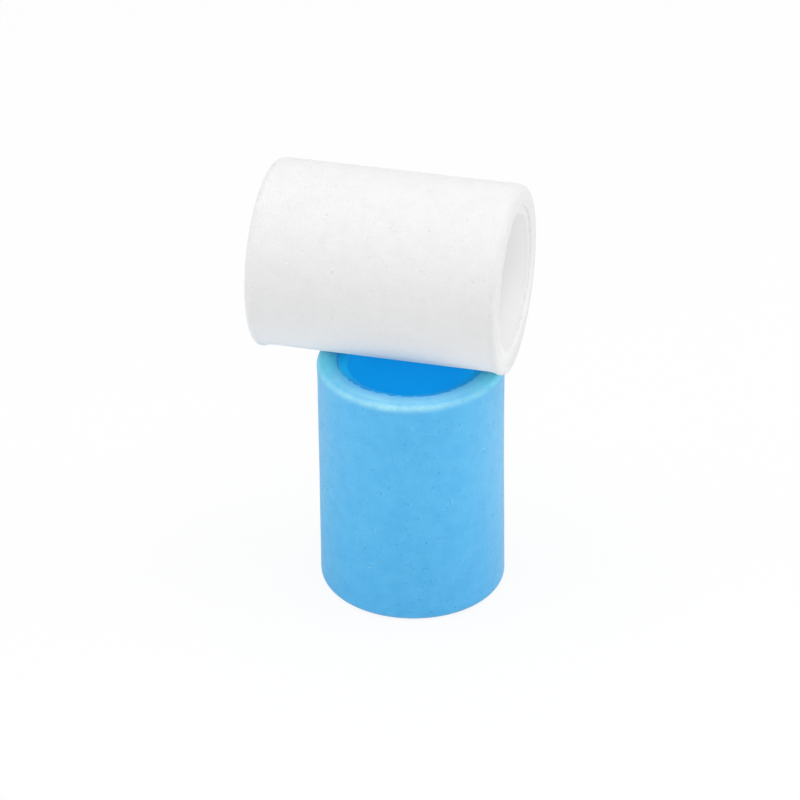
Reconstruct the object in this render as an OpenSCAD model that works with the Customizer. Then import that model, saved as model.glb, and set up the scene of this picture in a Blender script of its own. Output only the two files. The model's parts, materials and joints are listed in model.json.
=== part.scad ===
// Two foam paint roller sleeves, the refills that slip onto a roller's wire cage.
// One stands on its end, and the other lies across its rim.
// Each is a foam cover on a stiff tube, and both are cut alike, in two colours.

/* [Sleeve] */

// Length of a sleeve, over the foam
sleeve_len = 75; // [60:1:110]
// Bore of the core tube, which slips onto the cage
bore_d = 38.1; // [30:0.1:50]
// Wall of the core tube
core_wall = 2.5; // [1:0.1:3]
// Wall of the foam around the core
foam_wall = 6.2; // [5:0.1:12]
// How far the foam stands out past each end of the core
foam_overhang = 1; // [0.5:0.1:5]

/* [Edges] */

// Rounding around the outside of the foam's ends
outer_lip = 2.5; // [0.5:0.1:3]
// Rounding around the foam's mouth
inner_lip = 0.8; // [0.4:0.1:1.6]
// Bevel inside the core's cut ends
core_bevel = 0.3; // [0.1:0.1:0.6]

/* [Resting place] */

// How far the standing sleeve's axis is to the right of the lying sleeve's middle
stand_right = 5.3; // [-12:0.1:12]
// How far the standing sleeve's axis is in front of the lying sleeve's middle
stand_front = 7; // [-12:0.1:12]
// How far the lying sleeve's right end is turned to the front, in degrees
lie_turn = 14.8; // [0:0.1:45]
// Clearance between the lying sleeve and the rim that it rests on
rest_gap = 0.3; // [0.2:0.05:0.5]

/* [Hidden] */

// Outside of the core, which is also the foam's bore
core_r = bore_d / 2 + core_wall;
// Outside of the foam
foam_r = core_r + foam_wall;
// The core ends short of the foam at both ends
core_len = sleeve_len - 2 * foam_overhang;
// Height of the lying sleeve's axis above the floor
lie_z = sleeve_len + rest_gap + foam_r;
// How far a cutting shape runs past what it cuts
cut_margin = 1;

foam_blue = "#60B7EB";
core_blue = "#0D8DDE";
foam_white = "#F4F4F4";
core_white = "#E6E6E6";

$fn = 160;

// What a quarter round of radius r takes off a corner: the round's centre is the origin
module corner_waste(r) {
    difference() {
        square(r + cut_margin);
        circle(r);
    }
}

// One end of the foam's outline, with its two rounded corners taken off
module foam_end_waste() {
    translate([foam_r - outer_lip, sleeve_len / 2 - outer_lip])
        corner_waste(outer_lip);
    translate([core_r + inner_lip, sleeve_len / 2 - inner_lip])
        mirror([1, 0])
            corner_waste(inner_lip);
}

// A foam cover around Z, centred on the origin
module foam_cover() {
    rotate_extrude()
        difference() {
            translate([core_r, -sleeve_len / 2])
                square([foam_wall, sleeve_len]);
            foam_end_waste();
            mirror([0, 1])
                foam_end_waste();
        }
}

// A core tube around Z, centred on the origin, with a bevel inside each end
module core_tube() {
    bore_r = bore_d / 2;
    half_len = core_len / 2;
    rotate_extrude()
        polygon([
            [bore_r, core_bevel - half_len],
            [bore_r + core_bevel, -half_len],
            [core_r, -half_len],
            [core_r, half_len],
            [bore_r + core_bevel, half_len],
            [bore_r, half_len - core_bevel]
        ]);
}

// Stands a sleeve's piece on the floor
module standing() {
    translate([stand_right, -stand_front, sleeve_len / 2])
        children();
}

// Lays a sleeve's piece across the standing sleeve's rim
module lying() {
    translate([0, 0, lie_z])
        rotate([0, 90, -lie_turn])
            children();
}

module blue_foam_cover() {
    color(foam_blue)
        standing()
            foam_cover();
}

module blue_core_tube() {
    color(core_blue)
        standing()
            core_tube();
}

module white_foam_cover() {
    color(foam_white)
        lying()
            foam_cover();
}

module white_core_tube() {
    color(core_white)
        lying()
            core_tube();
}

blue_foam_cover();
blue_core_tube();
white_foam_cover();
white_core_tube();
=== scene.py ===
import json
import math
import bpy
import numpy as np
from mathutils import Matrix, Vector


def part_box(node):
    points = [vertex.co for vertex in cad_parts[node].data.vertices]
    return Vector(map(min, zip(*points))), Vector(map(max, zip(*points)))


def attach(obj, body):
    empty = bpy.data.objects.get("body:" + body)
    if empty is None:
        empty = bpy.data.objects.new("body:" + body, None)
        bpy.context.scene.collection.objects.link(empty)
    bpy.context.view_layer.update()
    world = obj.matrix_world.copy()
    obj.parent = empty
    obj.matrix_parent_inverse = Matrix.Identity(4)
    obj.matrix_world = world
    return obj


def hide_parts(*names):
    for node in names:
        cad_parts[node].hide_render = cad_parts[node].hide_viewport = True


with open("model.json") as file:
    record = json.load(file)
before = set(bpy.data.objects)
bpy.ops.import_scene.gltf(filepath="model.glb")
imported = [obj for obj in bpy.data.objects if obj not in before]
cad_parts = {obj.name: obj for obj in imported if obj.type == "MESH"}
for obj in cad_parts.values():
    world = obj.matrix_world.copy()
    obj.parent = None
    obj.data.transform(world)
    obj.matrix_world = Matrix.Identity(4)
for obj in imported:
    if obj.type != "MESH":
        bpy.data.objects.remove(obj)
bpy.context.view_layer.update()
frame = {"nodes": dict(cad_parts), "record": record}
nodes = frame["nodes"]
mounts = {m["name"]: m for m in frame["record"]["mounts"]}
scene = bpy.context.scene
scene.view_settings.view_transform = "Standard"
print("frame loaded:", sorted(nodes))


# A sleeve's placing: its middle is the middle of its foam box, its axis the bore mount's, and the
# other two directions are square to it. Radii and lengths are read from the boxes.
def placeSleeve(foamNode, coreNode, axis, upright):
    foamLow, foamHigh = (np.array(corner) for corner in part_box(foamNode))
    coreLow, coreHigh = (np.array(corner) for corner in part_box(coreNode))
    along = np.array(axis, float)
    side = np.array([1.0, 0.0, 0.0]) if upright else np.array([0.0, 0.0, 1.0])
    return {
        "middle": (foamLow + foamHigh) / 2,
        "turn": np.stack([side, np.cross(along, side), along], axis=1),
        "foamRadius": (foamHigh - foamLow)[0 if upright else 2] / 2,
        "coreRadius": (coreHigh - coreLow)[0 if upright else 2] / 2,
    }


standing = placeSleeve("blue_foam_cover", "blue_core_tube", (0, 0, 1), True)
lying = placeSleeve("white_foam_cover", "white_core_tube", mounts["white_bore"]["axis"], False)
blueLow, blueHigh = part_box("blue_foam_cover")
sleeveLength = blueHigh.z - blueLow.z
coreLow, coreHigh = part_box("blue_core_tube")
coreLength = coreHigh.z - coreLow.z
print("sleeves placed, length", round(sleeveLength, 4), "m, radius", round(standing["foamRadius"], 5))


noiseCells = 64  # along each side of the lattice, before it repeats


# Smooth noise: random numbers on a cubic lattice, blended between the eight corners round each
# point with a quintic ease, so that the slope is even too.
def smoothNoise(points, cell, seed):
    table = np.random.default_rng(seed).uniform(-1, 1, (noiseCells,) * 3)
    lattice = points / cell
    base = np.floor(lattice).astype(int)
    t = lattice - base
    t = t * t * t * (t * (6 * t - 15) + 10)
    total = np.zeros(points.shape[:-1])
    for corner in range(8):
        step = np.array([corner & 1, corner >> 1 & 1, corner >> 2 & 1])
        at = (base + step) % noiseCells
        weight = np.prod(np.where(step == 1, t, 1 - t), axis=-1)
        total += weight * table[at[..., 0], at[..., 1], at[..., 2]]
    return total


# A straight run of the section: evenly spaced points from start up to, not at, end.
def runOf(start, end, facing, rows):
    t = np.arange(rows)[:, None] / rows
    return np.array(start) * (1 - t) + np.array(end) * t, np.tile(facing, (rows, 1))


# A rounded corner of the section: centre plus radius times (cos a, sin a), turning a quarter.
def cornerOf(centre, radius, quarter, rows):
    a = (quarter + np.arange(rows) / rows) * math.pi / 2
    facing = np.stack([np.cos(a), np.sin(a)], axis=1)
    return np.array(centre) + radius * facing, facing


blueShape = {
    "columns": 426,                 # round the sleeve
    "wallRows": 172,                # along the outer wall
    "lipRows": 12,                  # round each outer lip
    "ringRows": 8,                  # across each end ring
    "mouthRows": 10,                # round each inner lip
    "outerLip": 0.0025,
    "innerLip": 0.0008,
    "crown": 0.00022,               # how far an end ring swells, where it isn't stood on
    "swell": 0.00006,               # slow unevenness of the ground foam
    "swellCell": 0.017,
    "ripple": 0.000010,             # its finer unevenness
    "rippleCell": 0.0042,
    "grain": 0.000005,
    "grainCell": 0.0014,
    "footGive": 0.3,                # what is left of its hollows in the ring that it stands on
    "tear": 0.00046,                # ragged cut edge round each mouth
    "tearCell": 0.0011,
    "fineTearCell": 0.00052,
    "fineTear": 0.6,                # share of the finer noise in it
    "tearDrawn": 0.35,              # drawn out along the bore: below 1 makes it longer
    "tornAbove": 0.25,              # noise above this is a torn tip, the rest is cut
    "tornEdge": 1.5,                # how far a torn tip stands out, less the step
    "tornStep": 0.1,
    "cutEdge": 0.5,                 # and how far the cut edge does
    # The lip's paler rubbed colour is strengthened into a painted highlight, strongest on the lit
    # front.
    "lipLightAt": 0.45,                 # where the rubbed line, painted as a highlight, lies, as a share of the lip's turn
    "lipLightWidth": 0.42,
    "ringPaintedLight": 0.55,               # the same painted highlight across the end ring, strongest at its outer edge
    "paintedLightAt": -1.80,              # bearing where the lip's painted highlight is strongest, in radians
    "paintedLightSpan": 0.55,
    "paintedLightSides": 0.48,               # what the other sides have of it
    "footPaintedLight": 0.15,               # what is left of all this at the lower end
    "ringMouthShading": 0.30,               # how far the mouth's painted shade reaches over the ring
    "sinkUnderPaintedLight": 0.7,              # how much less of it where the lip's painted highlight is strongest
    "sinkUnderFill": 0.8,               # and where painted light fills the ring
    "fullAt": (2.66, -0.03),        # bearings where an end's corner is fuller: here, under the
    "fullSpan": 0.62,               # other sleeve, which squeezes the foam out
    "fullDepth": 0.0030,            # how far down from the end
    "fullOut": 0.00070,
    "fullCorner": 0.0,              # how far it also fills out the lip's rounding
    "fullFoot": 0.0,                # what the lower end has of it
    "flareAt": -0.65,               # bearing where the wall spreads towards the foot
    "flareSpan": 1.0,
    "flareOut": 0.00072,
    "flareFrom": 0.37,              # height where it starts, as a share of half the length
    "flarePower": 1.5,
    "lowShade": 1.0,                # painted shade towards the lower end, near the floor
    "lowFrom": 0.2,
    "paintedSideShade": 1.0,                 # painted shade low on one side, which takes out some of the sheen's paleness
    "sideLowAt": math.pi,
    "sideLowSpan": 0.66,
    "sideLowFrom": 0.4,
    "sideLowFade": 0.8,
    "wallPaintedHighlight": 0.11,               # faint painted highlight high on the wall
    "wallHighlightAt": -0.45,
    "wallHighlightSpan": 0.35,
    "wallHighlightFrom": -0.5,
    "wallHighlightFade": 0.7,
    "paintedFillLight": 1.0,                  # painted light on the upper ring, in the shade under the other sleeve
    "brightAt": (3.15, -0.30),
    "brightSpan": 0.50,
    "wallBright": 0.0,              # and the same painted light along the wall
    "wallBrightAt": 2.4,
    "wallBrightSpan": 0.4,
    "pits": 74,
    "pitRadius": (0.00026, 0.00056),
    "pitDepth": (0.00016, 0.00034),
    "pitReach": 0.0021,             # the grid is drawn in round each pit from this far
    "pitDraw": 0.65,                # by this power of the distance
    "pitStretch": 1.8,              # length of the longest pit, as a share of its width
    "pitRoundness": 0.4,
    "tornShare": 0.5,               # pits that keep a pale torn lip
    "tornRise": 0.00007,
    "tornWidth": 0.36,              # width of that lip, as a share of the pit's radius
    "tornSlope": 1.6,               # how quickly it rises to one side
    "tornFrom": 0.5,
    "seed": 11,
}
whiteShape = {
    **blueShape,
    "tear": 0.00012,
    # On the white sleeve the lip mark is painted shade instead, strongest at this bearing.
    "paintedLightAt": -2.6,
    "paintedLightSpan": 1.0,
    "paintedLightSides": 0.2,
    "footPaintedLight": 0.0,
    "ringMouthShading": 0.0,
    "fullAt": (2.61,),
    "fullSpan": 0.75,
    "fullOut": 0.00055,
    "fullCorner": 0.00070,
    "fullFoot": 1.0,
    "flareOut": 0.0,
    "lowShade": 0.0,
    "paintedSideShade": 0.0,
    "wallPaintedHighlight": 0.0,
    "paintedFillLight": 0.0,
    # painted light on the lower front of the wall, where it lies in shade
    "wallBright": 1.0,
    "pits": 34,
    "pitRadius": (0.00024, 0.00048),
    "pitDepth": (0.00008, 0.00018),
    "tornRise": 0.00005,
    "seed": 47,
}


# The cover's section as one closed line of (radius, height): outer wall up, rounded lip, end
# ring, rounded mouth, bore wall down, and the same again at the other end.
def coverSection(place, shape):
    outer, inner, half = place["foamRadius"], place["coreRadius"], sleeveLength / 2
    lip, mouth = shape["outerLip"], shape["innerLip"]
    parts = [
        ("wall", runOf((outer, lip - half), (outer, half - lip), (1, 0), shape["wallRows"])),
        ("lip", cornerOf((outer - lip, half - lip), lip, 0, shape["lipRows"])),
        ("ring", runOf((outer - lip, half), (inner + mouth, half), (0, 1), shape["ringRows"])),
        ("mouth", cornerOf((inner + mouth, half - mouth), mouth, 1, shape["mouthRows"])),
        ("bore", runOf((inner, half - mouth), (inner, mouth - half), (-1, 0), 2)),
        ("mouth", cornerOf((inner + mouth, mouth - half), mouth, 2, shape["mouthRows"])),
        ("ring", runOf((inner + mouth, -half), (outer - lip, -half), (0, -1), shape["ringRows"])),
        ("lip", cornerOf((outer - lip, lip - half), lip, 3, shape["lipRows"])),
    ]
    zone = np.concatenate([[part[0]] * len(part[1][0]) for part in parts])
    return {
        "points": np.concatenate([part[1][0] for part in parts]),
        "facing": np.concatenate([part[1][1] for part in parts]),
        "zone": zone,
        "onEnd": (zone != "wall") & (zone != "bore"),
        "outer": outer,
        "inner": inner,
        "half": half,
        "mouthEdge": inner + mouth,     # radius where the ring meets the mouth
        "ringWide": outer - lip - (inner + mouth),
    }


# Bearing of each point from a centre, the short way round.
def bearingApart(angle, centre):
    return (angle - centre + math.pi) % (2 * math.pi) - math.pi


# A bell over the bearing: exp of minus (bearing apart / span) squared.
def bellAt(angle, centre, span):
    return np.exp(-((bearingApart(angle, centre) / span) ** 2))


# Where the pits lie: tries at random round and along the wall, each kept if it is clear of those
# before it. Gives angle, height, radius, depth, stretch, slant and torn lip of each.
def scatterPits(outer, half, shape):
    draw = np.random.default_rng(shape["seed"])
    room = half - shape["outerLip"] - shape["pitReach"]
    kept = []
    while len(kept) < shape["pits"]:
        angle, height = draw.uniform(0, 2 * math.pi), draw.uniform(-room, room)
        size = draw.uniform(0, 1) ** 2
        clear = all(
            math.hypot(math.remainder(angle - p[0], 2 * math.pi) * outer, height - p[1])
            > 2 * shape["pitReach"]
            for p in kept
        )
        if clear:
            radius = shape["pitRadius"][0] + size * (shape["pitRadius"][1] - shape["pitRadius"][0])
            depth = shape["pitDepth"][0] + size * (shape["pitDepth"][1] - shape["pitDepth"][0])
            stretch, slant = draw.uniform(1, shape["pitStretch"]), draw.uniform(0, math.pi)
            torn = shape["tornRise"] if draw.uniform(0, 1) < shape["tornShare"] else 0.0
            kept.append((angle, height, radius, depth, stretch, slant, torn))
    return kept


# The pits' surface. Round each one the grid is drawn in by a power of the distance. With s the
# distance as a share of the pit's radius, after its stretch and slant, the bowl is 1 - s squared,
# a little flattened, and a torn lip is a bell round s = 1 on one side only.
def shapePits(angle, height, section, shape):
    outer, reach = section["outer"], shape["pitReach"]
    roundness = shape["pitRoundness"]
    onWall = (section["zone"] == "wall")[None]
    hollow, fleck = np.zeros_like(angle), np.zeros_like(angle)
    for pit in scatterPits(outer, section["half"], shape):
        pitAngle, pitHeight, pitRadius, pitDepth, stretch, slant, torn = pit
        apart = bearingApart(angle, pitAngle)
        across, up = apart * outer, height - pitHeight
        away = np.hypot(across, up)
        near = onWall & (away < reach)
        drawn = np.where(near, (np.maximum(away, 1e-9) / reach) ** shape["pitDraw"], 1.0)
        angle = angle - apart * (1 - drawn)
        height = height - up * (1 - drawn)
        across, up = across * drawn, up * drawn
        u = (across * math.cos(slant) + up * math.sin(slant)) / stretch
        v = -across * math.sin(slant) + up * math.cos(slant)
        share = np.hypot(u, v) / pitRadius
        bowl = np.clip(1 - share ** 2, 0, None)
        hollow += np.where(near, pitDepth * bowl * (1 + roundness - roundness * bowl), 0)
        oneSide = np.clip(-shape["tornSlope"] * v / pitRadius - shape["tornFrom"], 0, 1)
        flap = np.exp(-(((share - 1.0) / shape["tornWidth"]) ** 2)) * oneSide
        hollow -= np.where(near, torn * flap, 0)
        fleck = np.maximum(fleck, np.where(near & (torn > 0), flap, 0))
    return angle, height, hollow, fleck


# The torn edge, strongest where the mouth turns into the bore: two noises added, steeper above
# the step, where the foam tore, than below it, where it was cut.
def tearMouth(angle, height, section, shape):
    inner, seed = section["inner"], shape["seed"]
    depthIn = np.clip(-section["facing"][:, 0], 0, 1) * (section["zone"] == "mouth")
    along = height * shape["tearDrawn"]
    edge = np.stack([inner * np.cos(angle), inner * np.sin(angle), along], axis=-1)
    rag = smoothNoise(edge, shape["tearCell"], seed + 4)
    rag = rag + shape["fineTear"] * smoothNoise(edge, shape["fineTearCell"], seed + 5)
    torn, cut = rag * shape["tornEdge"] - shape["tornStep"], rag * shape["cutEdge"]
    return np.where(rag > shape["tornAbove"], torn, cut) * shape["tear"] * depthIn[None]


# How far the wall spreads: fuller corners, a bell round each bearing times another down from the
# end, and the flare, a bell round its bearing times a power of the way down.
def spreadWall(fuller, angle, height, outOnRing, section, shape):
    half = section["half"]
    fuller = fuller * np.exp(-(((half - np.abs(height)) / shape["fullDepth"]) ** 2)) * outOnRing
    fuller = np.where(height < 0, shape["fullFoot"], 1.0) * fuller
    longest = 1 + shape["flareFrom"]
    wayDown = np.clip(shape["flareFrom"] - height / half, 0, longest) / longest
    flare = bellAt(angle, shape["flareAt"], shape["flareSpan"])
    flare = flare * wayDown ** shape["flarePower"] * outOnRing
    return shape["fullOut"] * fuller + shape["flareOut"] * flare


# The marks that the finish reads, each from 0 to 1.
# The lip's mark: a paler rubbed lip, strengthened into a painted highlight on the blue sleeve and
# turned into painted shade on the white one: exp of minus twice (place / width) squared over the
# lip's quarter turn, and the same paint fading from the lip across the ring to the mouth. Both are
# stronger in the bell round the bearing where it is painted most, and a painted highlight high on
# the wall is added.
# The fill mark: painted light in the shade under the other sleeve, bells round their bearings on
# the upper ring, or along the wall.
# The mouth mark: painted shade round the blue mouth and painted light round the white one, how far
# towards the core, a little across the ring and the rest round the mouth.
# The two low marks: painted shade in even fades down the sleeve, towards the floor, the second in a
# bell round its bearing.
def coverMarks(angle, height, shownHeight, section, shape):
    facing, zone, half = section["facing"], section["zone"], section["half"]
    radii, heights = section["points"][:, 0], section["points"][:, 1]
    across = np.clip((radii - section["mouthEdge"]) / section["ringWide"], 0, 1)
    turnShare = np.arctan2(np.abs(facing[:, 1]), facing[:, 0]) * 2 / math.pi
    bell = np.exp(-(((turnShare - shape["lipLightAt"]) / shape["lipLightWidth"]) ** 2) * 2)
    wearPaintedLight = np.where(zone == "lip", np.maximum(bell, shape["ringPaintedLight"] * turnShare), 0)
    wearPaintedLight = np.where(zone == "ring", shape["ringPaintedLight"] * across, wearPaintedLight)
    wearPaintedLight = wearPaintedLight * np.where(heights < 0, shape["footPaintedLight"], 1.0)
    # bell round the bearing where the lip's painted light is strongest: highlight on the blue, shade
    # on the white
    paintedLightBell = bellAt(angle, shape["paintedLightAt"], shape["paintedLightSpan"])
    # painted highlight high on the wall
    wallPaintedHighlight = shape["wallPaintedHighlight"] * bellAt(angle, shape["wallHighlightAt"], shape["wallHighlightSpan"])
    wallFade = (height / half - shape["wallHighlightFrom"]) / shape["wallHighlightFade"]
    wallPaintedHighlight = wallPaintedHighlight * np.clip(wallFade, 0, 1) * (zone == "wall")[None]
    wearPaintedLight = wearPaintedLight[None] * (shape["paintedLightSides"] + (1 - shape["paintedLightSides"]) * paintedLightBell) + wallPaintedHighlight

    # painted light in the shade under the other sleeve
    fillLightBells = sum(bellAt(angle, centre, shape["brightSpan"]) for centre in shape["brightAt"])
    paintedFillLight = shape["paintedFillLight"] * fillLightBells * section["onEnd"][None]
    paintedFillLight = paintedFillLight * np.clip((shownHeight - half) / shape["outerLip"] + 1, 0, 1)
    paintedFillLight += shape["wallBright"] * bellAt(angle, shape["wallBrightAt"], shape["wallBrightSpan"])

    # painted shade round the blue mouth, painted light round the white one
    start = shape["ringMouthShading"] * (1 - shape["sinkUnderPaintedLight"] * paintedLightBell)
    start = start * (1 - shape["sinkUnderFill"] * fillLightBells)
    inMouth = np.where(zone == "mouth", np.clip(-facing[:, 0], 0, 1), 0) + (zone == "bore")
    onRing = np.where(zone == "ring", 1 - across, 0) + (zone == "mouth") + (zone == "bore")

    # painted shade towards the floor
    lowest = 1 + shape["lowFrom"]
    paintedFootShade = shape["lowShade"] * np.clip(shape["lowFrom"] - height / half, 0, lowest) / lowest
    # painted shade low on one side, against the sheen there
    paintedSideShade = shape["paintedSideShade"] * bellAt(angle, shape["sideLowAt"], shape["sideLowSpan"])
    sideFade = (shape["sideLowFrom"] - height / half) / shape["sideLowFade"]
    return {
        "lipWearPaintedLight": wearPaintedLight,
        "paintedFillLight": paintedFillLight,
        "mouthPaintedShading": start * onRing[None] + (1 - start) * inMouth[None],
        "paintedFootShade": paintedFootShade,
        "paintedSideShade": paintedSideShade * np.clip(sideFade, 0, 1),
    }


# The cover's surface: the section carried round the axis. Each point moves along its outward
# direction by slow swell + ripple + grain - pits, plus a crown of 1 - x squared across the ring,
# the torn edge of the mouth and the filled corner of the lip, and out from the axis by the spread.
def coverGrid(place, shape, footFlat):
    section = coverSection(place, shape)
    points, facing, zone = section["points"], section["facing"], section["zone"]
    columns, seed = shape["columns"], shape["seed"]
    angle = np.arange(columns)[:, None] / columns * 2 * math.pi
    angle = np.repeat(angle, len(points), axis=1)
    radius = np.repeat(points[None, :, 0], columns, axis=0)
    height = np.repeat(points[None, :, 1], columns, axis=0)
    angle, height, hollow, fleck = shapePits(angle, height, section, shape)

    plain = np.stack([radius * np.cos(angle), radius * np.sin(angle), height], axis=-1)
    rise = shape["swell"] * smoothNoise(plain, shape["swellCell"], seed + 1)
    rise += shape["ripple"] * smoothNoise(plain, shape["rippleCell"], seed + 2)
    rise += shape["grain"] * smoothNoise(plain, shape["grainCell"], seed + 3)
    rise = (rise - hollow) * np.where(zone == "bore", 0.0, 1.0)[None]

    outOnRing = (radius - section["mouthEdge"]) / section["ringWide"]
    fromMiddle = outOnRing * 2 - 1
    outOnRing = np.clip(outOnRing, 0, 1)
    crown = shape["crown"] * np.clip(1 - fromMiddle * fromMiddle, 0, None) * (zone == "ring")[None]
    rag = tearMouth(angle, height, section, shape)
    if footFlat:
        low = (height < 0) & section["onEnd"][None]
        stoodOn = low & (facing[:, 1] < -0.5)[None]
        rise = np.where(stoodOn, np.minimum(rise, 0) * shape["footGive"], rise)
        crown = np.where(low, 0, crown)
        rag = np.where(stoodOn, np.minimum(rag, 0), rag)
    rise = rise + crown
    rise = rise + rag

    fuller = sum(bellAt(angle, centre, shape["fullSpan"]) for centre in shape["fullAt"])
    diagonal = 2 * np.abs(facing[:, 0] * facing[:, 1]) * (zone == "lip")
    rise = rise + shape["fullCorner"] * fuller * diagonal[None]
    spread = spreadWall(fuller, angle, height, outOnRing, section, shape)
    shownRadius = radius + rise * facing[None, :, 0] + spread
    shownHeight = height + rise * facing[None, :, 1]
    marks = coverMarks(angle, height, shownHeight, section, shape)
    marks["fleck"] = fleck
    local = [shownRadius * np.cos(angle), shownRadius * np.sin(angle), shownHeight]
    return place["middle"] + np.stack(local, axis=-1) @ place["turn"].T, marks


# A closed grid made a mesh: each quad joins a point to the next one round and the next one along.
# Each mark is kept with the points for the material to read.
def meshFromGrid(name, grid, marks):
    columns, rows = grid.shape[:2]
    index = np.arange(columns * rows).reshape(columns, rows)
    nextRound, nextAlong = np.roll(index, -1, 0), np.roll(index, -1, 1)
    quads = np.stack([index, nextRound, np.roll(nextRound, -1, 1), nextAlong], axis=-1).reshape(-1, 4)
    mesh = bpy.data.meshes.new(name)
    mesh.vertices.add(columns * rows)
    mesh.vertices.foreach_set("co", grid.reshape(-1, 3).astype(np.float32).ravel())
    mesh.loops.add(quads.size)
    mesh.loops.foreach_set("vertex_index", quads.astype(np.int32).ravel())
    mesh.polygons.add(len(quads))
    mesh.polygons.foreach_set("loop_start", np.arange(0, quads.size, 4, dtype=np.int32))
    mesh.polygons.foreach_set("use_smooth", np.ones(len(quads), bool))
    mesh.update(calc_edges=True)
    mesh.validate()
    for mark, amount in marks.items():
        attribute = mesh.attributes.new(mark, "FLOAT", "POINT")
        attribute.data.foreach_set("value", amount.astype(np.float32).ravel())
    piece = bpy.data.objects.new(name, mesh)
    scene.collection.objects.link(piece)
    return piece


blueFoam = meshFromGrid("blueFoam", *coverGrid(standing, blueShape, True))
whiteFoam = meshFromGrid("whiteFoam", *coverGrid(lying, whiteShape, False))
print("foam covers shaped:", len(blueFoam.data.polygons), "quads each")


# A node with its settings and inputs: a socket is linked, and anything else is set as it is.
def addNode(tree, kind, inputs=(), **settings):
    node = tree.nodes.new(kind)
    for key, value in settings.items():
        setattr(node, key, value)
    for key, value in dict(inputs).items():
        if isinstance(value, bpy.types.NodeSocket):
            tree.links.new(value, node.inputs[key])
        else:
            node.inputs[key].default_value = value
    return node


# A ramp from one value to another between two places, eased at both.
def addRamp(tree, source, places, values):
    ramp = addNode(tree, "ShaderNodeMapRange", {"Value": source}, interpolation_type="SMOOTHSTEP")
    ramp.inputs["From Min"].default_value, ramp.inputs["From Max"].default_value = places
    ramp.inputs["To Min"].default_value, ramp.inputs["To Max"].default_value = values
    return ramp.outputs["Result"]


def addMath(tree, operation, first, second=0.0):
    return addNode(tree, "ShaderNodeMath", {0: first, 1: second}, operation=operation).outputs[0]


def addMark(tree, name):
    return addNode(tree, "ShaderNodeAttribute", attribute_name=name).outputs["Fac"]


# A mix of two colours, each a colour or a socket, by a factor, or the first tinted by the second.
def addBlend(tree, factor, first, second, kind="MIX"):
    inputs = {0: factor, 6: first, 7: second}
    return addNode(tree, "ShaderNodeMix", inputs, data_type="RGBA", blend_type=kind).outputs[2]


def newMaterial(name):
    material = bpy.data.materials.new(name)
    material.use_nodes = True
    tree = material.node_tree
    tree.nodes.clear()
    surface = addNode(tree, "ShaderNodeBsdfPrincipled")
    addNode(tree, "ShaderNodeOutputMaterial", {"Surface": surface.outputs["BSDF"]})
    coords = addNode(tree, "ShaderNodeTexCoord").outputs["Object"]
    return material, tree, surface, coords


# Scales count cells to the metre; each pair is where a ramp starts and ends, or what it gives.
foamGrain = {
    "mottleScale": 210,
    "mottleRamp": (0.36, 0.64),
    "lumpScale": 900,
    "pushScale": 1500,
    "pushReach": 0.0007,
    "cellScale": 2300,
    "cellRamp": (0.10, 0.62),
    "poreScale": 820,
    "poreSizes": (0.45, 1.25),
    "poreRamp": (0.10, 0.28),
    "poreTint": 0.8,
    "poreSink": 1.6,         # depth of a pore, in depths of a cell
    "patchRamp": (0.3, 0.6),
    "patchLeast": 0.7,       # the lip's painted highlight between the patches, as a share of it
    "sinkRamp": (0.0, 0.8),
    "roughRamp": (0.3, 0.7),
    "roughness": (0.92, 0.80),
}
foamLooks = {
    "blueFoam": {
        "pale": (0.113, 0.555, 0.960, 1),
        "deep": (0.101, 0.525, 0.933, 1),
        "cell": (0.66, 0.83, 0.92, 1),         # painted shade at the bottom of a cut cell
        "cellShare": 0.24,
        "pore": (0.54, 0.75, 0.88, 1),         # and painted shade in an open pore
        "poreShare": 0.17,
        # pale rubbed lip, strengthened into a painted highlight
        "wornPaintedTone": (0.460, 0.880, 0.995, 1),
        "wearPaintedLight": 0.90,
        # painted shade round the mouth, where it turns in to the core
        "mouth": (0.008, 0.520, 0.960, 1),
        "mouthShadingShare": 0.95,
        "fleck": (0.320, 0.760, 0.990, 1),
        "low": (0.84, 0.915, 0.935, 1),        # painted shade at the lower end
        "paintedSideShade": (0.42, 0.96, 1.00, 1),      # and painted shade low on one side
        "clear": (0.088, 0.760, 1.000, 1),     # the ring's painted light, in the shade under the other sleeve
        "sheen": 0.53,
        "sheenRoughness": 0.40,
        "sheenTint": (0.85, 0.95, 1.0, 1),
        "cellHeight": 0.00007,
        "lumpHeight": 0.00006,
    },
    # On the white: the darker lip tone is painted shade, the brighter mouth and clear tones are
    # painted light, and the cell and pore tints are painted shade.
    "whiteFoam": {
        "pale": (0.870, 0.870, 0.870, 1),
        "deep": (0.854, 0.854, 0.854, 1),
        "cell": (0.945, 0.945, 0.946, 1),
        "cellShare": 0.16,
        "pore": (0.900, 0.900, 0.902, 1),
        "poreShare": 0.10,
        "wornPaintedTone": (0.700, 0.700, 0.702, 1),
        "wearPaintedLight": 0.8,
        "mouth": (0.930, 0.930, 0.930, 1),
        "mouthShadingShare": 0.8,
        "fleck": (0.900, 0.900, 0.900, 1),
        "low": (1.0, 1.0, 1.0, 1),
        "paintedSideShade": (1.0, 1.0, 1.0, 1),
        "clear": (0.950, 0.950, 0.955, 1),
        "sheen": 0.30,
        "sheenRoughness": 0.40,
        "sheenTint": (1.0, 1.0, 1.0, 1),
        "cellHeight": 0.00005,
        "lumpHeight": 0.00003,
    },
}
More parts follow.
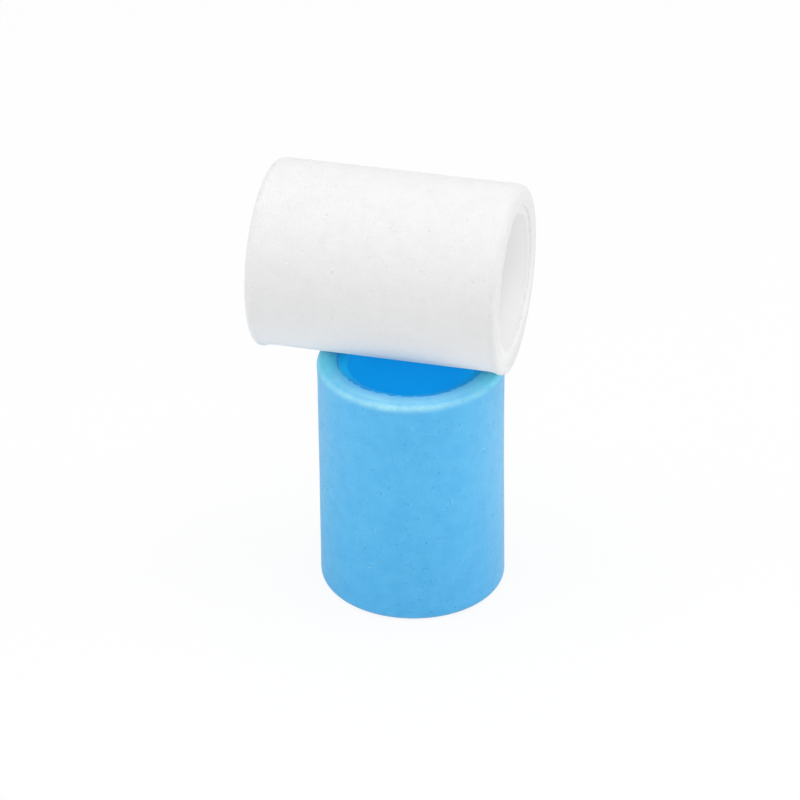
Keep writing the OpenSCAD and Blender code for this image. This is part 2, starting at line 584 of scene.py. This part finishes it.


# Open-cell foam ground to size: soft mottling, painted shade in its small cells and here and there
# an open pore, a paler rubbed lip strengthened into a painted highlight (painted shade on the white),
# torn flecks, painted shade where the mouth turns in to the core (painted light on the white),
# painted light under the other sleeve, and painted shade low down.
def foamMaterial(name, look):
    material, tree, surface, coords = newMaterial(name)
    grain = foamGrain
    mottle = addNode(tree, "ShaderNodeTexNoise",
                     {"Vector": coords, "Scale": grain["mottleScale"], "Detail": 4,
                      "Roughness": 0.6}).outputs["Fac"]
    lumps = addNode(tree, "ShaderNodeTexNoise",
                    {"Vector": coords, "Scale": grain["lumpScale"], "Detail": 3,
                     "Roughness": 0.55}).outputs["Fac"]
    # every cell and pore is drawn on coordinates pushed about a little, so none is round
    push = addNode(tree, "ShaderNodeTexNoise",
                   {"Vector": coords, "Scale": grain["pushScale"], "Detail": 2}).outputs[1]
    pushed = addNode(tree, "ShaderNodeVectorMath", {0: push, 1: (grain["pushReach"],) * 3, 2: coords},
                     operation="MULTIPLY_ADD").outputs[0]
    cells = addNode(tree, "ShaderNodeTexVoronoi", {"Vector": pushed, "Scale": grain["cellScale"]})
    cellWall = addRamp(tree, cells.outputs["Distance"], grain["cellRamp"], (0, 1))
    pores = addNode(tree, "ShaderNodeTexVoronoi", {"Vector": pushed, "Scale": grain["poreScale"]})
    chance = addNode(tree, "ShaderNodeSeparateColor", {"Color": pores.outputs["Color"]})
    isPore = addMath(tree, "LESS_THAN", chance.outputs["Red"], look["poreShare"])
    poreSize = addRamp(tree, chance.outputs["Green"], (0, 1), grain["poreSizes"])
    poreSpan = addMath(tree, "DIVIDE", pores.outputs["Distance"], poreSize)
    poreBowl = addRamp(tree, poreSpan, grain["poreRamp"], (1, 0))
    poreDepth = addMath(tree, "MULTIPLY", isPore, poreBowl)
    mottled = addRamp(tree, mottle, grain["mottleRamp"], (0, 1))
    colour = addBlend(tree, mottled, look["deep"], look["pale"])
    # painted light in the shade under the other sleeve
    paintedFillLight = addMark(tree, "paintedFillLight")
    colour = addBlend(tree, paintedFillLight, colour, look["clear"])
    # the lip's rubbed colour, made into a painted highlight (painted shade on the white)
    lip = addMark(tree, "lipWearPaintedLight")
    patchy = addRamp(tree, mottle, grain["patchRamp"],
                     (grain["patchLeast"] * look["wearPaintedLight"], look["wearPaintedLight"]))
    colour = addBlend(tree, addMath(tree, "MULTIPLY", lip, patchy), colour, look["wornPaintedTone"])
    # painted shade round the mouth (painted light on the white)
    sink = addMark(tree, "mouthPaintedShading")
    sunk = addRamp(tree, sink, grain["sinkRamp"], (0, look["mouthShadingShare"]))
    colour = addBlend(tree, sunk, colour, look["mouth"])
    torn = addMark(tree, "fleck")
    colour = addBlend(tree, torn, colour, look["fleck"])
    # painted shade towards the floor, and low on one side
    low = addMark(tree, "paintedFootShade")
    colour = addBlend(tree, low, colour, look["low"], "MULTIPLY")
    side = addMark(tree, "paintedSideShade")
    colour = addBlend(tree, side, colour, look["paintedSideShade"], "MULTIPLY")
    # painted shade at the bottom of the cells and in the pores
    cellShade = addMath(tree, "MULTIPLY", addMath(tree, "SUBTRACT", 1.0, cellWall), look["cellShare"])
    colour = addBlend(tree, cellShade, colour, look["cell"], "MULTIPLY")
    poreShade = addMath(tree, "MULTIPLY", poreDepth, grain["poreTint"])
    colour = addBlend(tree, poreShade, colour, look["pore"], "MULTIPLY")
    tree.links.new(colour, surface.inputs["Base Color"])
    poreFall = addMath(tree, "MULTIPLY", poreDepth, grain["poreSink"])
    cellRise = addMath(tree, "SUBTRACT", cellWall, poreFall)
    fine = addNode(tree, "ShaderNodeBump",
                   {"Strength": 1.0, "Distance": look["cellHeight"], "Height": cellRise})
    soft = addNode(tree, "ShaderNodeBump",
                   {"Strength": 1.0, "Distance": look["lumpHeight"], "Height": lumps,
                    "Normal": fine.outputs["Normal"]})
    tree.links.new(soft.outputs["Normal"], surface.inputs["Normal"])
    roughness = addRamp(tree, mottle, grain["roughRamp"], grain["roughness"])
    tree.links.new(roughness, surface.inputs["Roughness"])
    surface.inputs["Sheen Weight"].default_value = look["sheen"]
    surface.inputs["Sheen Roughness"].default_value = look["sheenRoughness"]
    surface.inputs["Sheen Tint"].default_value = look["sheenTint"]
    return material


tubeGrain = {
    "cloudScale": 120,
    "cloudRamp": (0.35, 0.65),
    "streakScale": 900,
    "streakDrawn": 0.03,     # share of the height that the streaks follow
    "streakRamp": (0.3, 0.7),
    "streakHeight": 0.00002,
    "roughness": (0.50, 0.36),
    "endFrom": 0.0005,       # the cut end's colour starts this far inside it
    "endFull": 0.0002,
    "sideRamp": (0.003, 0.0145),  # where the cut end's painted light at the sides gives way to painted shade, by distance before or behind the axis
}
coreLooks = {
    "blueCore": {
        "pale": (0.008, 0.56, 0.93, 1),
        "deep": (0.006, 0.53, 0.91, 1),
        # the cut end's painted shade, before and behind the axis
        "cutEndPaintedShade": (0.006, 0.24, 0.64, 1),
        "cutSidePaintedLight": (0.006, 0.55, 1.0, 1),   # painted light on the cut end's two sides, which lie in shade
        "paintedGlow": (0.019, 0.65, 1.0, 1),   # painted glow that stands in for light through the wall
        "paintedGlowShare": 0.155,
        "axis": standing,
    },
    "whiteCore": {
        "pale": (0.84, 0.84, 0.84, 1),
        "deep": (0.82, 0.82, 0.822, 1),
        # a duller cut end, darkened further as painted shade
        "cutEndPaintedShade": (0.71, 0.71, 0.71, 1),
        "cutSidePaintedLight": (0.71, 0.71, 0.71, 1),
        # painted glow that stands in for light through the wall
        "paintedGlow": (1.0, 1.0, 1.0, 1),
        "paintedGlowShare": 0.11,
        "axis": lying,
    },
}


# Drawn plastic tube: long faint streaks along the axis, made by shrinking the pattern's height,
# a slightly uneven satin surface, a cut end with painted shade before and behind the axis and painted
# light at its two sides, and a faint painted glow that stands in for light through the wall.
def coreMaterial(name, look):
    material, tree, surface, coords = newMaterial(name)
    grain, place = tubeGrain, look["axis"]
    turned = Matrix(place["turn"].T.tolist()).to_euler()
    middle = tuple(place["middle"])
    centred = addNode(tree, "ShaderNodeVectorMath", {0: coords, 1: middle}, operation="SUBTRACT")
    own = addNode(tree, "ShaderNodeMapping",
                  {"Vector": centred.outputs[0], "Rotation": turned}).outputs[0]
    drawn = addNode(tree, "ShaderNodeMapping",
                    {"Vector": own, "Scale": (1, 1, grain["streakDrawn"])}).outputs[0]
    streaks = addNode(tree, "ShaderNodeTexNoise",
                      {"Vector": drawn, "Scale": grain["streakScale"], "Detail": 3}).outputs[0]
    clouds = addNode(tree, "ShaderNodeTexNoise",
                     {"Vector": own, "Scale": grain["cloudScale"], "Detail": 3}).outputs[0]
    cloudy = addRamp(tree, clouds, grain["cloudRamp"], (0, 1))
    colour = addBlend(tree, cloudy, look["deep"], look["pale"])
    parts = addNode(tree, "ShaderNodeSeparateXYZ", {0: own}).outputs
    along = addMath(tree, "ABSOLUTE", parts["Z"])
    endRamp = (coreLength / 2 - grain["endFrom"], coreLength / 2 - grain["endFull"])
    atEnd = addRamp(tree, along, endRamp, (0, 1))
    beforeOrBehind = addMath(tree, "ABSOLUTE", parts["Y"])
    atSide = addRamp(tree, beforeOrBehind, grain["sideRamp"], (1, 0))
    # painted shade on the cut end before and behind the axis, painted light at its sides
    cutEndPaintedShade = addBlend(tree, atSide, look["cutEndPaintedShade"], look["cutSidePaintedLight"])
    colour = addBlend(tree, atEnd, colour, cutEndPaintedShade)
    tree.links.new(colour, surface.inputs["Base Color"])
    roughness = addRamp(tree, streaks, grain["streakRamp"], grain["roughness"])
    tree.links.new(roughness, surface.inputs["Roughness"])
    bump = addNode(tree, "ShaderNodeBump",
                   {"Strength": 0.6, "Distance": grain["streakHeight"], "Height": streaks})
    tree.links.new(bump.outputs["Normal"], surface.inputs["Normal"])
    # a painted glow: emission that stands in for light through the wall
    surface.inputs["Emission Color"].default_value = look["paintedGlow"]
    surface.inputs["Emission Strength"].default_value = look["paintedGlowShare"]
    return material


for piece, node, body, slotName in (
    (blueFoam, "blue_foam_cover", "standing_sleeve", "foam_blue"),
    (whiteFoam, "white_foam_cover", "lying_sleeve", "foam_white"),
):
    piece.data.materials.append(foamMaterial(piece.name + "Finish", foamLooks[piece.name]))
    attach(piece, body)
    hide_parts(node)
for node, look, slotName in (
    ("blue_core_tube", "blueCore", "core_blue"),
    ("white_core_tube", "whiteCore", "core_white"),
):
    nodes[node].material_slots[0].material = coreMaterial(look + "Finish", coreLooks[look])
print("finishes made")


room = {
    "floorReach": 4.0,
    "floorColour": (0.92, 0.92, 0.92, 1),
    "floorDrop": 0.00005,    # just under the foot
    "floorLift": 0.90,       # share of plain white that the camera sees in the floor
    "fill": 0.52,            # light from all round
}


# 1 for rays straight from the camera, off a gloss or through glass, and 0 for light on the set.
def seenStraight(tree):
    path = addNode(tree, "ShaderNodeLightPath").outputs
    seen = addMath(tree, "MAXIMUM", path["Is Camera Ray"], path["Is Glossy Ray"])
    return addMath(tree, "MAXIMUM", seen, path["Is Transmission Ray"])


def makeFloor():
    reach = room["floorReach"]
    corners = [(-reach, -reach), (reach, -reach), (reach, reach), (-reach, reach)]
    mesh = bpy.data.meshes.new("floor")
    mesh.from_pydata([(x, y, -room["floorDrop"]) for x, y in corners], [], [(0, 1, 2, 3)])
    floor = bpy.data.objects.new("floor", mesh)
    scene.collection.objects.link(floor)
    material = bpy.data.materials.new("paleFloor")
    material.use_nodes = True
    tree = material.node_tree
    tree.nodes.clear()
    lit = addNode(tree, "ShaderNodeBsdfDiffuse", {"Color": room["floorColour"]})
    plain = addNode(tree, "ShaderNodeEmission", {"Color": (1, 1, 1, 1), "Strength": 1.0})
    share = addMath(tree, "MULTIPLY", seenStraight(tree), room["floorLift"])
    both = addNode(tree, "ShaderNodeMixShader", {0: share, 1: lit.outputs[0], 2: plain.outputs[0]})
    addNode(tree, "ShaderNodeOutputMaterial", {"Surface": both.outputs[0]})
    mesh.materials.append(material)


def makeWorld():
    world = bpy.data.worlds.new("studio")
    scene.world = world
    world.use_nodes = True
    tree = world.node_tree
    tree.nodes.clear()
    light = addNode(tree, "ShaderNodeBackground", {"Color": (1, 1, 1, 1), "Strength": room["fill"]})
    white = addNode(tree, "ShaderNodeBackground", {"Color": (1, 1, 1, 1), "Strength": 1.0})
    seen = seenStraight(tree)
    both = addNode(tree, "ShaderNodeMixShader", {0: seen, 1: light.outputs[0], 2: white.outputs[0]})
    addNode(tree, "ShaderNodeOutputWorld", {"Surface": both.outputs[0]})


lampTarget = (0, 0, 0.06)
lamps = {
    "overheadBox": {"azimuth": 0, "height": 88, "away": 1.4, "size": 1.2, "watts": 8.3},
    "keyBox": {"azimuth": 1, "height": 35, "away": 1.3, "size": 0.3, "watts": 1.66},
    "leftBox": {"azimuth": -80, "height": 25, "away": 1.1, "size": 0.6, "watts": 1.85},
    "rightBox": {"azimuth": 85, "height": 25, "away": 1.1, "size": 0.6, "watts": 2.65},
}


# Each lamp is a square softbox that faces the middle of the set from a bearing round it, measured
# from the front towards the right, and a height above the horizon, both in degrees.
def makeLamps():
    target = Vector(lampTarget)
    for name, lamp in lamps.items():
        data = bpy.data.lights.new(name, "AREA")
        data.shape = "SQUARE"
        data.size = lamp["size"]
        data.energy = lamp["watts"]
        light = bpy.data.objects.new(name, data)
        bearing, height = math.radians(lamp["azimuth"]), math.radians(lamp["height"])
        level = math.cos(height)
        towards = Vector((math.sin(bearing) * level, -math.cos(bearing) * level, math.sin(height)))
        light.location = target + towards * lamp["away"]
        light.rotation_euler = (-towards).to_track_quat("-Z", "Y").to_euler()
        scene.collection.objects.link(light)


eye = {
    "target": (0.0020, 0.0, 0.0565),
    "distance": 1.161,
    "elevation": 31.0,       # degrees above the horizon
    "roll": -0.45,           # degrees
    "lens": 174.24,          # mm
    "sensor": 36,            # mm wide
    "clip": (0.01, 50),
}


# The camera's axes: forward looks along +Y and down, right is +X, and both turn by the roll.
def makeCamera():
    rise, roll = math.radians(eye["elevation"]), math.radians(eye["roll"])
    forward = Vector((0, math.cos(rise), -math.sin(rise)))
    up = Vector((0, math.sin(rise), math.cos(rise)))
    right = Vector((1, 0, 0))
    rolledRight = math.cos(roll) * right + math.sin(roll) * up
    rolledUp = -math.sin(roll) * right + math.cos(roll) * up
    data = bpy.data.cameras.new("camera")
    data.sensor_width = eye["sensor"]
    data.lens = eye["lens"]
    data.clip_start, data.clip_end = eye["clip"]
    camera = bpy.data.objects.new("camera", data)
    turn = Matrix((rolledRight, rolledUp, -forward)).transposed().to_4x4()
    turn.translation = Vector(eye["target"]) - forward * eye["distance"]
    camera.matrix_world = turn
    scene.collection.objects.link(camera)
    scene.camera = camera


makeFloor()
makeWorld()
makeLamps()
makeCamera()
print("room lit")
